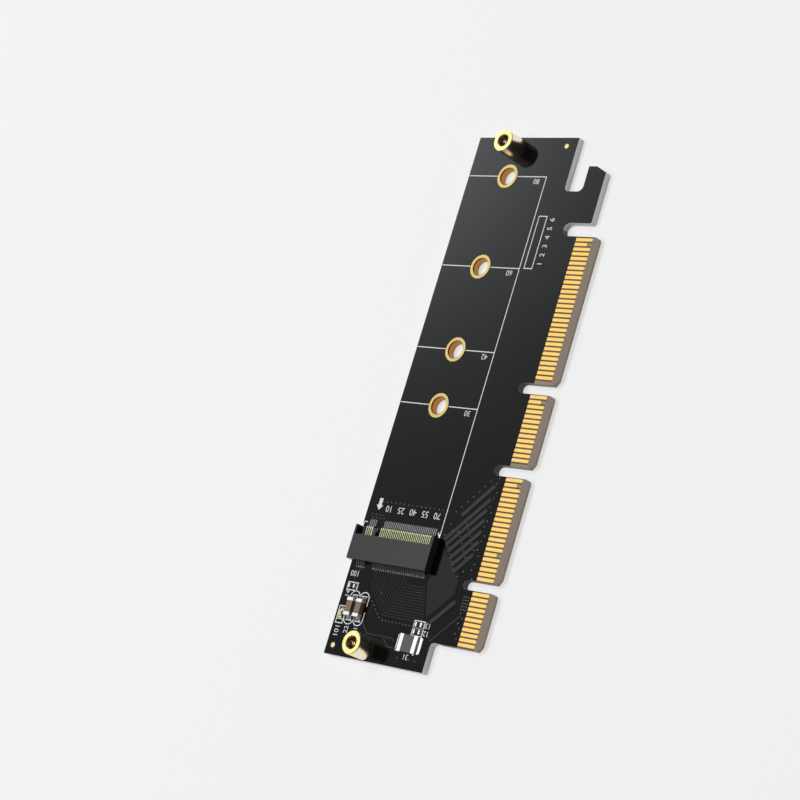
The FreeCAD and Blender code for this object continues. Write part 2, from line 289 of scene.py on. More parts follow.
@dataclass(frozen=True)
class CardSurface(Finish):
    """Glass-epoxy laminate under a screened black solder mask.

    The mask ends at the gold contacts, where the bare laminate shows a warm grey. The routed edges
    show pale fibres in thin layers and brown along the bevelled tongues, with painted shade at the
    ends of the notches. The eye reads a satin black sheet with a light rim.
    """

    laminate_hex: str = "8E7C6C"
    cloth_hex: str = "968678"
    # Painted shade on the laminate between the gold contacts.
    gap_hex: str = "4E3C1C"
    edge_hex: str = "E6E6E4"
    fibre_hex: str = "D0D0CD"
    # Painted shade on the routed walls at the closed ends of the notches.
    slot_hex: str = "5E5E60"
    tongue_hex: str = "96887E"
    bare_roughness: float = 0.55
    mask_edge_y: float = 5.7
    mask_overlap: float = 0.004
    tongues_end_x: float = 73.5
    finger_y: float = 1.4
    slot_y: Point = (7.0, 10.5)
    pitch_mm: float = 1.0
    gap_from: float = 0.33
    layer_mm: float = 0.19
    weave_mm: float = 0.5
    weave_share: float = 0.35
    least_flat: float = 0.25

    def colour(self, shader: Shader) -> Socket:
        """Mask, bare laminate or routed edge, by the place and the way the surface faces.

        Args:
            shader: The material's nodes.

        Returns:
            The colour's socket.
        """
        flat, masked = self.zones(shader)
        fibre = shader.add("TexWave", {"Vector": shader.coords, "Scale": per_metre(self.layer_mm) / TURN,
                                       "Distortion": 2.0}, "Fac", bands_direction="Z")
        along, across = (shader.add("SeparateXYZ", (shader.coords,), axis) for axis in "XY")
        low, high = (CARD.at(0, y).y for y in self.slot_y)
        before_hook = shader.add("Math.LESS_THAN", (along, CARD.at(self.tongues_end_x, 0).x))
        # Painted shade on the notch ends, and the brown of the tongues' bevels.
        notch_shade_and_bevel = shader.within(across, low, high), shader.add("Math.LESS_THAN", (across, low))
        slot, tongue = (shader.add("Math.MULTIPLY", (zone, before_hook)) for zone in notch_shade_and_bevel)
        face = shader.painted(self.laminate(shader), (masked, super().colour(shader)))
        return shader.painted(linear(self.fibre_hex), (fibre, linear(self.edge_hex)),
                              (slot, linear(self.slot_hex)), (tongue, linear(self.tongue_hex)),
                              (flat, face))

    def sheen(self, shader: Shader) -> dict[str, Socket]:
        """Glossy film, matt laminate."""
        film = shader.add("Math.MULTIPLY", self.zones(shader))
        return self.two_sheens(shader, film, self.bare_roughness)

    def zones(self, shader: Shader) -> tuple[Socket, Socket]:
        """Two masks: one on the two faces and nought on the cut edge, and one where the film lies.

        Args:
            shader: The material's nodes.

        Returns:
            The two masks' sockets.
        """
        corner = CARD.at(self.tongues_end_x, self.mask_edge_y - self.mask_overlap)
        along, across = (shader.add("SeparateXYZ", (shader.coords,), axis) for axis in "XY")
        beyond = shader.add("Math.GREATER_THAN", (across, corner.y))
        hook = shader.add("Math.GREATER_THAN", (along, corner.x))
        return shader.facing_up(self.least_flat), shader.add("Math.MAXIMUM", (beyond, hook))

    def laminate(self, shader: Shader) -> Socket:
        """Woven glass under clear resin, with painted shade between the gold contacts.

        Args:
            shader: The material's nodes.

        Returns:
            The colour's socket.
        """
        cloth = shader.add("TexChecker", {"Vector": shader.coords, "Scale": per_metre(self.weave_mm)}, "Fac")
        weave = shader.add("Math.MULTIPLY", (cloth, self.weave_share))
        across = shader.add("SeparateXYZ", (shader.coords,), "Y")
        row = shader.add("Math.GREATER_THAN", (across, CARD.at(0, self.finger_y).y))
        between = shader.add("Math.GREATER_THAN", (shader.aside(self.pitch_mm), self.gap_from))
        # Painted shade between the contacts, on the fingers' row.
        gap = shader.add("Math.MULTIPLY", (row, between))
        return shader.painted(linear(self.laminate_hex), (weave, linear(self.cloth_hex)),
                              (gap, linear(self.gap_hex)))


@dataclass(frozen=True)
class ContactFinish(Finish):
    """Bronze strip, gold flashed in the socket's mouth and matt tinned on the soldered tails.

    The eye reads a bright greenish yellow comb between two rows of dull grey feet, the rear row darker with
    painted shade.
    """

    front_hex: str = "8E8C90"
    # Painted shade on the rear tails, the same tin as the front ones.
    rear_hex: str = "454446"
    flashed_x: Point = (1.0, 8.2)

    def colour(self, shader: Shader) -> Socket:
        """Gold between the two ends of the flash, tin beyond them, the rear tails darker with painted shade.

        Args:
            shader: The material's nodes.

        Returns:
            The colour's socket.
        """
        along = shader.add("SeparateXYZ", (shader.coords,), "X")
        low, high = (CARD.at(x, 0).x for x in self.flashed_x)
        front = shader.add("Math.GREATER_THAN", (along, high))
        return shader.painted(linear(self.rear_hex), (front, linear(self.front_hex)),
                              (shader.within(along, low, high), super().colour(shader)))


@dataclass(frozen=True)
class FingerFinish(Finish):
    """Gold contacts at an even pitch, whose etched flanks slope away; painted shade makes them deeper in tone
    than the flat top.
    """

    # Painted shade on the sloping flanks of the contacts.
    flank_hex: str = "8A6A2C"
    pitch_mm: float = 1.0
    fade_mm: Point = (0.26, 0.38)  # from the contact's middle: end of the flat top, full tone of the flank

    def colour(self, shader: Shader) -> Socket:
        """Gold on the flat top, going over to the flank's painted shade near the two long sides.

        Args:
            shader: The material's nodes.

        Returns:
            The colour's socket.
        """
        flank = shader.add("MapRange", (shader.aside(self.pitch_mm), *self.fade_mm),
                           interpolation_type="SMOOTHSTEP")
        return shader.painted(super().colour(shader), (flank, linear(self.flank_hex)))


@dataclass(frozen=True)
class RingFinish(Finish):
    """Gold plate on a drilled hole: a pale ring on top, and a deeper copper tone down the barrel that is
    painted shade.
    """

    # Painted shade down the walls of the hole.
    barrel_hex: str = "B98246"
    least_flat: float = 0.9

    def colour(self, shader: Shader) -> Socket:
        """The finish's own colour where the surface faces up or down, the barrel's painted tone on the walls.
        """
        top = shader.facing_up(self.least_flat)
        return shader.painted(linear(self.barrel_hex), (top, super().colour(shader)))


@dataclass(frozen=True)
class TurnedFinish(RingFinish):
    """Free-cutting brass turned on a lathe: a pale faced end and a warmer barrel with fine rings round it,
    the barrel's colour carrying a painted highlight.
    """

    # Painted highlight: the barrel is paler and whiter than the faced end.
    barrel_hex: str = "FBEBCC"
    barrel_roughness: float = 0.26
    # Real feed marks lie closer together. These are as coarse as they need to be to show.
    ring_mm: float = 0.16
    ring_depth_mm: float = 0.0008

    def sheen(self, shader: Shader) -> dict[str, Socket]:
        """Soft faced end, brighter barrel."""
        return self.two_sheens(shader, shader.facing_up(self.least_flat), self.barrel_roughness)

    def relief(self, shader: Shader) -> Socket:
        """Tool marks as shallow waves up the barrel.

        Args:
            shader: The material's nodes.

        Returns:
            The normal's socket.
        """
        wave = shader.add("TexWave", {"Vector": shader.coords, "Scale": per_metre(self.ring_mm) / TURN,
                                      "Distortion": 0.4}, "Fac", bands_direction="Z")
        return shader.add("Bump", {"Height": wave, "Distance": self.ring_depth_mm * MM})


class Surface(Enum):
    """Every finish on the card, by the plain name of what it is."""

    # Cured ink film: black and glossy, so that it mirrors the studio and whatever stands on it.
    CARD = CardSurface("screened_black_solder_mask", "040405", 0.09, grain_mm=(0.6, 0.0001), mottle=0.05,
                       mottle_mm=6.0)
    # The same film over raised copper: a touch lighter, so tracks show as faint ridges.
    TRACK = Finish("solder_mask_over_copper", "343436", 0.16, grain_mm=(0.4, 0.0002))
    # The same over the fine nested tracks, where the film is thicker and hides more.
    RISE = Finish("solder_mask_over_fine_copper", "222224", 0.14, grain_mm=(0.4, 0.0002))
    # The film over a wide copper pour.
    POUR = Finish("solder_mask_over_pour", "232324", 0.12, grain_mm=(0.5, 0.0002))
    # Film pooled in the hollows between tracks, whose slopes turn the reflection away: drawn as raised black
    # lines of painted shade.
    VALLEY = Finish("painted_shade_between_tracks", "050505", 0.6, specular=0.1)
    # Film sagging into a plated via: a dimple with a bright and a dark side.
    VIA = Finish("solder_mask_over_via", "202021", 0.15, grain_mm=(0.4, 0.0002))
    # Screen-printed epoxy ink: chalky white with soft coverage.
    INK = Finish("screen_printed_white_ink", "E4E4E3", 0.60, specular=0.3, mottle=0.04, mottle_mm=0.3)
    # Electroless nickel under immersion gold: smooth, pale yellow, soft highlights.
    GOLD = FingerFinish("immersion_gold_on_nickel", "D6AF62", 0.4, metallic=0.8, grain_mm=(0.15, 0.0008),
                        mottle_mm=0.8)
    # The same gold on the round targets.
    TARGET = Finish("immersion_gold_target", "E4CC80", 0.4, metallic=0.8, grain_mm=(0.15, 0.0008))
    # Raised plated ring: the same gold with a slightly duller, deeper tone.
    RING = RingFinish("heavy_gold_plated_ring", "CFB973", 0.3, metallic=0.9, mottle=0.05, mottle_mm=1.0)
    # Turned brass with a bright gold flash: mirror-like barrel with fine rings.
    BRASS = TurnedFinish("turned_gilt_brass", "F8EC9C", 0.32, metallic=1.0, mottle=0.03)
    # The same brass inside the tapped bore, rougher from the tap, and darkened as painted shade in the bore.
    THREAD = Finish("tapped_brass_thread", "86664A", 0.62, metallic=1.0, mottle=0.05)
    # Reflowed tin: bright grey-white metal with a soft skin.
    TIN = Finish("reflowed_tin", "DEDEDC", 0.36, metallic=0.85, grain_mm=(0.2, 0.004))
    # Solder where it wetted the joint, a little duller than the caps, and darker still as painted shade in
    # the hollow fillet.
    SOLDER = Finish("reflowed_solder", "969696", 0.3, metallic=0.95, grain_mm=(0.3, 0.003))
    # Moulded glass-filled nylon: dark grey, fine matt grain from the tool.
    NYLON = Finish("moulded_glass_filled_nylon", "262828", 0.3, grain_mm=(0.09, 0.0018), mottle=0.05)
    # The same nylon deep in the mouth, where the draft of the tool leaves it smooth; its dark colour is
    # painted shade.
    COMB = Finish("nylon_comb_in_the_mouth", "0C0D0D", 0.5, specular=0.2, mottle=0.03)
    # Phosphor bronze strip with a gold flash where it touches, dull tin on the tails.
    SPRING = ContactFinish("gold_flashed_bronze_strip", "FCFCC6", 0.26, metallic=0.25)
    # Matt tin over copper under and on the tails: dull grey metal.
    TAIL = Finish("matt_tinned_tail_pad", "424244", 0.34, metallic=0.8, grain_mm=(0.2, 0.002))
    # The small wedge of solder at the tip of each tail catches the light.
    TOE = Finish("tail_toe_solder", "A6A4A8", 0.34, metallic=0.8, grain_mm=(0.2, 0.002))
    # Fired barium titanate ceramic: warm brown, slightly waxy.
    CERAMIC = Finish("fired_brown_ceramic", "78644F", 0.45, mottle=0.08, mottle_mm=0.5)
    # Glass overglaze on thick film: black and glossy.
    GLAZE = Finish("black_glass_overglaze", "1A1A1C", 0.22)
    # Conductive polymer sheet with a dark print.
    POLYMER = Finish("pressed_dark_polymer", "464648", 0.46)
    # Clear epoxy over phosphor: pale yellow green.
    LENS = Finish("cast_yellow_green_epoxy", "D6DC86", 0.18, coat=0.4)
    # White glass-epoxy lamp base.
    LAMP_BASE = Finish("white_lamp_laminate", "DADAD2", 0.5)

    def material(self) -> bpy.types.Material:
        """The Blender material of this finish."""
        return self.value.build()


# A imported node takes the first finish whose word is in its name.
NODE_FINISHES = (
    ("_ends", Surface.TIN), ("socket_tab", Surface.TIN), ("solder_pads", Surface.TIN),
    ("fingers", Surface.GOLD), ("plated_hole", Surface.RING), ("standoff", Surface.BRASS),
    ("board", Surface.CARD), ("socket_housing", Surface.NYLON), ("contacts", Surface.SPRING),
    ("capacitor", Surface.CERAMIC), ("resistor", Surface.GLAZE), ("fuse", Surface.POLYMER),
    ("led_base", Surface.LAMP_BASE), ("led_lens", Surface.LENS),
)


def dress_nodes() -> None:
    """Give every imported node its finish."""
    for name, node in frame["nodes"].items():
        surface = next(finish for word, finish in NODE_FINISHES if word in name)
        node.data.materials.clear()
        node.data.materials.append(surface.material())
        LOG.info("dressed %s with %s", name, surface.value.name)


# ---- Mesh tools ----


def box_path(low: Point, high: Point) -> list[Point]:
    """Four corners of an upright rectangle, counter-clockwise."""
    return [low, (high[0], low[1]), high, (low[0], high[1])]


def rounded(low: Point, high: Point, radius: float) -> list[Point]:
    """Rectangle with round corners.

    Args:
        low: Corner of least X and Y, in card millimetres.
        high: The opposite corner.
        radius: Radius of the round corners.

    Returns:
        Points counter-clockwise from the side of least Y.
    """
    path, centres = [], box_path((low[0] + radius, low[1] + radius), (high[0] - radius, high[1] - radius))
    for quarter, (x, y) in enumerate(centres[1:] + centres[:1], -1):
        turns = [TURN / 4 * (quarter + i / ARC_STEPS) for i in range(ARC_STEPS + 1)]
        path += [(x + radius * math.cos(a), y + radius * math.sin(a)) for a in turns]
    return path


def mitres(path: Path, half: float, closed: bool) -> list[Point]:
    """Sideways steps that carry each point of a path to the left rim of a band.

    Args:
        path: The band's centre line.
        half: Half the band's width.
        closed: Whether the last point joins the first.

    Returns:
        One step for each point, lengthened at corners so that the band keeps its width.
    """
    steps = []
    around = [path[-1] if closed else None, *path, path[0] if closed else None]
    for before, here, after in zip(around, path, around[2:]):
        ways = [Vector(b) - Vector(a) for a, b in ((before, here), (here, after)) if a and b]
        sides = [Vector((-way.y, way.x)).normalized() for way in ways]
        middle = sum(sides, Vector((0.0, 0.0))).normalized()
        reach = half / middle.dot(sides[0])
        steps.append((middle.x * reach, middle.y * reach))
    return steps


class Relief:
    """Closed forms given in card millimetres and gathered into one mesh."""

    def __init__(self) -> None:
        """Start with nothing in the mesh."""
        self.mesh = bmesh.new()

    def loft(self, rings: Sequence[Sequence[Triple]], closed: bool = False) -> None:
        """Join rings of points by quads.

        Args:
            rings: Cross-sections with the same number of points, in order.
            closed: Whether the last ring joins the first. If not, both ends are capped.
        """
        rows = [[self.mesh.verts.new(CARD.at(*point)) for point in ring] for ring in rings]
        pairs = list(zip(rows, rows[1:])) + ([(rows[-1], rows[0])] if closed else [])
        for low, high in pairs:
            for i, corner in enumerate(low):
                j = (i + 1) % len(low)
                self.mesh.faces.new((corner, low[j], high[j], high[i]))
        if not closed:
            self.mesh.faces.new(rows[0][::-1])
            self.mesh.faces.new(rows[-1])

    def prism(self, outline: Path, high: float, low: float = SUNK, inset: float = 0.0) -> None:
        """Upright block with a flat top.

        Args:
            outline: Corners in card millimetres, in order.
            high: Height of the top above the component face.
            low: Height of the underside.
            inset: How far the top is drawn in.
        """
        middle = (sum(x for x, _ in outline) / len(outline), sum(y for _, y in outline) / len(outline))
        top = []
        for x, y in outline:
            away = Vector((x - middle[0], y - middle[1]))
            keep = 1 - inset / away.length
            top.append((middle[0] + away.x * keep, middle[1] + away.y * keep, high))
        self.loft([[(x, y, low) for x, y in outline], top])

    def ribbon(self, path: Path, width: float, high: float, closed: bool = False) -> None:
        """Flat band along a path, with mitred corners.

        Args:
            path: Centre line in card millimetres.
            width: Width of the band.
            high: Height of its top above the component face.
            closed: Whether the band is a loop.
        """
        rings = []
        for (x, y), (dx, dy) in zip(path, mitres(path, width / 2, closed)):
            left, right = (x + dx, y + dy), (x - dx, y - dy)
            rings.append([(*left, SUNK), (*right, SUNK), (*right, high), (*left, high)])
        self.loft(rings, closed)

    def turned(self, centre: Point, profile: Sequence[Point], sides: int, closed: bool = False) -> None:
        """Form turned about an upright axis.

        Args:
            centre: Place of the axis.
            profile: Radius and height of each step.
            sides: How many flats go round.
            closed: Whether the last step joins the first. If not, both are flat ends.
        """
        (x, y), turns = centre, [TURN * i / sides for i in range(sides)]
        self.loft([[(x + r * math.cos(a), y + r * math.sin(a), h) for a in turns] for r, h in profile],
                  closed)

    def digits(self, text: str, place: Point, height: float, turn_deg: float, high: float) -> None:
        """Plain numbers in the built-in typeface.

        Args:
            text: The digits.
            place: Middle of the number.
            height: Height of a digit in millimetres.
            turn_deg: Reading direction, counter-clockwise from +X.
            high: Height of the ink's top above the component face.
        """
        curve = bpy.data.curves.new("digits", "FONT")
        curve.body, curve.align_x, curve.extrude, curve.resolution_u = text, "CENTER", 0.05, CURVE_STEPS
        carrier = bpy.data.objects.new("digits", curve)
        drawn = bpy.data.meshes.new_from_object(carrier)
        form = bmesh.new()
        form.from_mesh(drawn)
        bmesh.ops.remove_doubles(form, verts=form.verts, dist=WELD)
        top = max(v.co.y for v in form.verts)
        turn = math.radians(turn_deg)
        copies = {}
        for v in form.verts:
            across, up = v.co.x / top * height, (v.co.y / top - 0.5) * height
            copies[v] = self.mesh.verts.new(CARD.at(place[0] + across * math.cos(turn) - up * math.sin(turn),
                                                    place[1] + across * math.sin(turn) + up * math.cos(turn),
                                                    high if v.co.z > 0 else SUNK))
        for face in form.faces:
            self.mesh.faces.new([copies[v] for v in face.verts])
        form.free()
        bpy.data.batch_remove((carrier, curve, drawn))

    def piece(self, name: str, surface: Surface, slot: str, smooth: bool = False) -> None:
        """Turn what was gathered into one object that rides on the card.

        Args:
            name: Plain name of the piece.
            surface: Its finish.
            slot: The record's material slot for the finish; not used.
            smooth: Whether it is shaded as one curved surface.
        """
        bmesh.ops.recalc_face_normals(self.mesh, faces=self.mesh.faces)
        for face in self.mesh.faces:
            face.smooth = smooth
        data = bpy.data.meshes.new(name)
        self.mesh.to_mesh(data)
        self.mesh.free()
        if smooth:
            data.set_sharp_from_angle(angle=math.radians(SHARP_DEG))
        data.materials.append(surface.material())
        piece = bpy.data.objects.new(name, data)
        bpy.context.scene.collection.objects.link(piece)
        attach(piece, BODY)
        LOG.info("built %s: %d faces", name, len(data.polygons))


# ---- Print, tracks and targets on the board ----


@dataclass(frozen=True)
class Legend:
    """White print: the drive's outline, the length marks, part outlines and plain numbers."""

    line: float = 0.2
    high: float = 0.022
    side_y: float = 18.16
    side_x: Point = (9.3, 84.83)
    free_edge_y: float = 39.3
    ring_gap: float = 2.75
    lengths: tuple[int, ...] = (30, 42, 60, 80)
    lower_corner_r: float = 1.25
    upper_corner_r: float = 1.3

    def build(self) -> None:
        """Make the ink lines and the ink numbers."""
        self.lines()
        self.outlines()
        self.numbers()

    def draw(self, relief: Relief, *paths: Path, closed: bool = False) -> None:
        """Lay one ink line for each path."""
        for path in paths:
            relief.ribbon(path, self.line, self.high, closed)

    def lines(self) -> None:
        """Long side of the drive's place, and a cross mark through each ringed hole."""
        relief = Relief()
        self.draw(relief, [(x, self.side_y) for x in self.side_x])
        for length in self.lengths:
            x, y = CARD.centre_of("plated_hole_%d" % length)
            self.draw(relief, [(x, self.side_y + self.line / 2), (x, y - self.ring_gap)],
                      [(x, y + self.ring_gap), (x, self.free_edge_y)])
        self.draw(relief, [(9.25, 18.75), (8.75, 18.75), (8.55, 18.15), (9.3, 18.15)],
                  [(9.2, 38.3), (9.2, 39.35)], [(8.3, 39.25), (9.2, 39.25)])
        relief.prism([(11.9, 36.4), (12.95, 35.5), (12.95, 35.95), (14.4, 35.95), (14.4, 36.85),
                      (12.95, 36.85), (12.95, 37.3)], self.high)
        relief.piece("print_drive_marks", Surface.INK, "print_ink")

    def outlines(self) -> None:
        """Outlines round the soldered parts at the pin end."""
        relief = Relief()
        left, right, low, middle, high = -11.75, -4.95, 31.75, 34.3, 36.95
        lower = rounded((left, low), (right, middle), self.lower_corner_r)
        upper = rounded((left, middle), (right, high), self.upper_corner_r)
        self.draw(relief, [(-7.7, low)] + lower + [(-8.9, low)], [(-8.9, middle)] + upper[-2::-1])
        self.draw(relief, box_path((-11.8, 37.05), (-8.35, 38.9)), closed=True)
        self.draw(relief, [(-10.95, 37.2), (-10.95, 38.75)])
        self.draw(relief, box_path((-4.9, 35.8), (-3.35, 38.5)), box_path((-11.5, 15.3), (-10.05, 18.1)),
                  box_path((-10.0, 15.3), (-8.55, 18.1)), closed=True)
        self.draw(relief, [(-15.2, 16.4), (-15.2, 15.9)])
        relief.piece("print_part_outlines", Surface.INK, "print_ink")

    def numbers(self) -> None:
        """Length marks beside the cross lines, pin numbers beside the socket, and part numbers."""
        relief = Relief()
        marks = [(str(length), (CARD.centre_of("plated_hole_%d" % length)[0] - 1.05, 20.5), 1.15, 90)
                 for length in self.lengths]
        marks += [(str(10 + 15 * step), (12.35, 33.6 - 3.3 * step), 1.3, 90) for step in range(5)]
        marks += [("101", (-13.4, 37.95), 1.2, 0), ("22", (-12.85, 35.5), 1.1, 0),
                  ("21", (-12.75, 33.0), 1.1, 0), ("14", (-5.75, 37.95), 1.05, 0),
                  ("100", (-1.55, 37.5), 1.15, 90), ("31", (-15.9, 17.9), 1.1, 90),
                  ("12", (-10.8, 14.4), 1.05, 90), ("13", (-9.25, 14.4), 1.05, 90)]
        marks += [(str(step + 1), (66.0 + 1.9 * step, 13.3), 1.2, 0) for step in range(6)]
        for text, place, height, turn_deg in marks:
            relief.digits(text, place, height, turn_deg, self.high)
        self.draw(relief, box_path((64.9, 14.9), (76.2, 17.0)), closed=True)
        relief.piece("print_numbers", Surface.INK, "print_ink")


@dataclass(frozen=True)
class BuriedCopper:
    """Copper under the mask: pours and tracks as faint ridges, painted shade lines in the hollows between
    them, and vias.
    """

    pour_high: float = 0.006
    track_high: float = 0.014
    valley_high: float = 0.017
    track_width: float = 0.25
    pair_width: float = 0.8
    pair_gap: float = 0.62
    valley_width: float = 0.3
    fan_valley_width: float = 0.24
    fan_count: int = 13
    fan_pitch: float = 0.56
    fan_x: Point = (-9.0, -0.3)
    # First place and step along Y: where the fan leaves the tails, where it bends and where it ends.
    fan_tails: Point = (32.7, -0.62)
    fan_bends: Point = (27.0, -0.32)
    fan_ends: Point = (15.9, 0.17)
    via_r: float = 0.18
    via_sides: int = 10
    # Share of the radius, and height, from the rim to the bottom of the dimple.
    via_profile: Path = ((1.0, SUNK), (1.0, 0.014), (0.8, 0.03), (0.45, 0.016), (0.2, 0.004))
    # Slanting pairs beside the socket, each on its way to a pair of contacts.
    pairs: tuple[Path, ...] = (
        ((2.0, 12.2), (6.0, 8.4)), ((3.2, 13.1), (8.6, 8.0)), ((4.4, 14.1), (10.7, 8.0)),
        ((5.8, 15.1), (12.9, 8.1)), ((7.1, 16.0), (15.0, 8.2)), ((8.0, 16.8), (17.2, 8.0)),
        ((13.2, 14.2), (19.9, 7.9)), ((-8.5, 14.3), (-3.6, 9.4)),
    )
    # Lone tracks at the pin end.
    singles: tuple[Path, ...] = (
        ((-12.0, 13.0), (-6.0, 7.0)), ((-10.9, 31.5), (-12.8, 29.6), (-12.8, 22.6), (-13.4, 22.0)),
        ((-14.6, 21.0), (-14.6, 23.4), (-13.1, 24.9)), ((-2.6, 37.2), (-1.2, 37.2), (-0.4, 36.4)),
    )

    def build(self) -> None:
        """Make the pours, the tracks, the painted shade lines and the vias."""
        pours, tracks, rises, shade_lines, dots = Relief(), Relief(), Relief(), Relief(), Relief()
        pours.prism([(-7.8, 15.6), (-2.3, 10.3), (0.6, 10.2), (2.4, 12.2), (6.2, 15.9), (0.8, 15.9),
                     (0.6, 17.4), (-1.0, 17.8)], self.pour_high)
        for middle in self.pairs:
            tracks.ribbon(middle, self.pair_width, self.track_high)
            # Painted shade: a black line beside each pair, where the film sags.
            shade_lines.ribbon(self.beside(middle, -self.pair_gap), self.valley_width, self.valley_high)
        for path in self.singles:
            tracks.ribbon(path, self.track_width, self.track_high)
        for path in self.fan():
            shade_lines.ribbon(path, self.fan_valley_width, self.valley_high)
            rises.ribbon(self.beside(path, self.fan_pitch / 2), self.fan_pitch / 2, self.track_high)
        for place in self.via_places():
            dots.turned(place, [(self.via_r * share, height) for share, height in self.via_profile],
                        self.via_sides)
        pours.piece("copper_pours", Surface.POUR, "solder_mask")
        tracks.piece("copper_tracks", Surface.TRACK, "solder_mask")
        rises.piece("copper_fan_tracks", Surface.RISE, "solder_mask")
        shade_lines.piece("painted_track_shade", Surface.VALLEY, "solder_mask")
        dots.piece("tented_vias", Surface.VIA, "solder_mask", smooth=True)

    def beside(self, path: Path, step: float) -> Path:
        """The same path, carried to the left by the step."""
        return [(x + dx, y + dy) for (x, y), (dx, dy) in zip(path, mitres(path, step, False))]

    def fan(self) -> list[Path]:
        """Painted shade lines between the nested tracks that run from the socket's rear tails towards the
        first tongues.

        Returns:
            One path for each shade line.
        """
        paths = []
        for i in range(self.fan_count):
            left = self.fan_x[0] + self.fan_pitch * i
            tail, bend, end = (first + step * i
                               for first, step in (self.fan_tails, self.fan_bends, self.fan_ends))
            paths.append([(self.fan_x[1], tail), (left + tail - bend, tail), (left, bend), (left, end)])
        return paths

    def via_places(self) -> list[Point]:
        """Places of the vias in card millimetres.

        Returns:
            The middle of each via.
        """
        grid = [(-4.9 + 0.62 * i, 6.3 + 0.6 * j) for i in range(5) for j in range(3)]
        rows = [(-10.6 + 1.0 * i, 6.5 + 0.7 * (i % 2)) for i in range(6)]
        rows += [(1.2 + 1.45 * i + 0.3 * (i % 2), 7.0 + 0.35 * ((i * 2) % 3)) for i in range(15)]
        slope = [(14.9 + 1.16 * i, 14.8 - 1.12 * i) for i in range(6)]
        left = [(-9.75, 16.4 + 0.93 * i) for i in range(12)]
        left += [(-9.3 + 0.72 * i, 27.7 + 0.78 * i) for i in range(6)]
        gaps = [(x - 0.45 + 0.73 * along, y - 0.7 - 0.69 * along) for (x, y), _ in self.pairs[1:6]
                for along in (0.0, 3.3, 5.6)]
        column = [(13.75, 19.3 + 1.18 * i) for i in range(15)]
        corner = [(10.3 + 0.62 * (i % 2), 34.2 + 0.5 * i) for i in range(8)]
        corner += [(-16.3, 15.2 + 1.6 * i) for i in range(4)]
        loose = [(-3.1, 19.4), (-4.4, 29.1), (8.9, 17.0), (11.2, 16.3), (10.0, 15.4), (13.8, 15.8),
                 (-11.3, 13.6), (1.3, 10.8), (2.4, 9.6)]
        return grid + rows + slope + left + gaps + column + corner + loose


@dataclass(frozen=True)
class Targets:
    """Round gold targets that the assembly camera looks for, each in a bare ring."""

    places: tuple[Point, ...] = ((-16.35, 37.7), (91.6, 15.25))
    gold_r: float = 0.5
    bare_r: float = 0.8
    gold_rim: float = 0.02
    gold_high: float = 0.026
    bare_high: float = 0.005
    edge: float = 0.03
    gap: float = 0.01
    sides: int = 28

    def build(self) -> None:
        """Make the gold discs and the bare rings round them."""
        gold, bare = Relief(), Relief()
        inner = self.gold_r + self.gap
        for place in self.places:
            gold.turned(place, [(self.gold_r, SUNK), (self.gold_r, self.gold_rim),
                                (self.gold_r - self.edge, self.gold_high)], self.sides)
            bare.turned(place, [(inner, SUNK), (self.bare_r, SUNK), (self.bare_r, self.bare_high),
                                (inner, self.bare_high)], self.sides, closed=True)
        gold.piece("target_discs", Surface.TARGET, "gold")
        bare.piece("target_rims", Surface.GLAZE, "solder_mask")


# ---- Solder, socket details and pillars ----


@dataclass(frozen=True)
class SolderJoints:
    """Solder drawn up the ends of the chips by surface tension."""

    hug: float = 0.02
    sunk: float = -0.02
    skin: float = 0.015
    hollow: float = 2.6
    width_share: float = 0.96
    level_share: float = 0.4
    end_loss: float = 0.35

    def build(self) -> None:
        """Make the joints of the chips."""
        relief = Relief()
        for kind, reach, rise in (("capacitor", 0.78, 0.55), ("resistor", 0.36, 0.32), ("fuse", 0.82, 0.28),
                                  ("led", 0.26, 0.14)):
            for node in sorted(frame["nodes"]):
                if node.startswith(kind) and node.endswith("_ends"):
                    self.chip_joints(relief, node, reach, rise)
        relief.piece("chip_solder", Surface.SOLDER, "tin", smooth=True)

    def chip_joints(self, relief: Relief, node: str, reach: float, rise: float) -> None:
        """Concave ramps at both ends of one chip.

        Args:
            relief: The mesh to add to.
            node: The chip's metal ends.
            reach: How far the solder spreads along the pad.
            rise: How far it climbs up the end cap.
        """
        (cx, cy), (length, width, _) = CARD.centre_of(node), CARD.size_of(node)
        along_x = length > width
        half, across = (length / 2, width) if along_x else (width / 2, length)
        for side in (-1, 1):
            rings = []
            for t in (-0.5, -0.46, -0.4, 0.4, 0.46, 0.5):
                shrink = 1.0 - self.end_loss * max(abs(t) - self.level_share, 0.0) / (0.5 - self.level_share)
                ring = [(-self.hug, self.sunk), (-self.hug, rise * shrink)]
                ring += [(reach * shrink * u, self.skin + rise * shrink * (1 - u) ** self.hollow)
                         for u in (0.08, 0.2, 0.4, 0.65, 0.9)]
                ring += [(reach * shrink, self.sunk)]
                b = t * across * self.width_share
                points = [(side * (half + along), b, h) for along, h in ring]
                rings.append([(cx + a, cy + b, h) if along_x else (cx + b, cy + a, h) for a, b, h in points])
            relief.loft(rings)


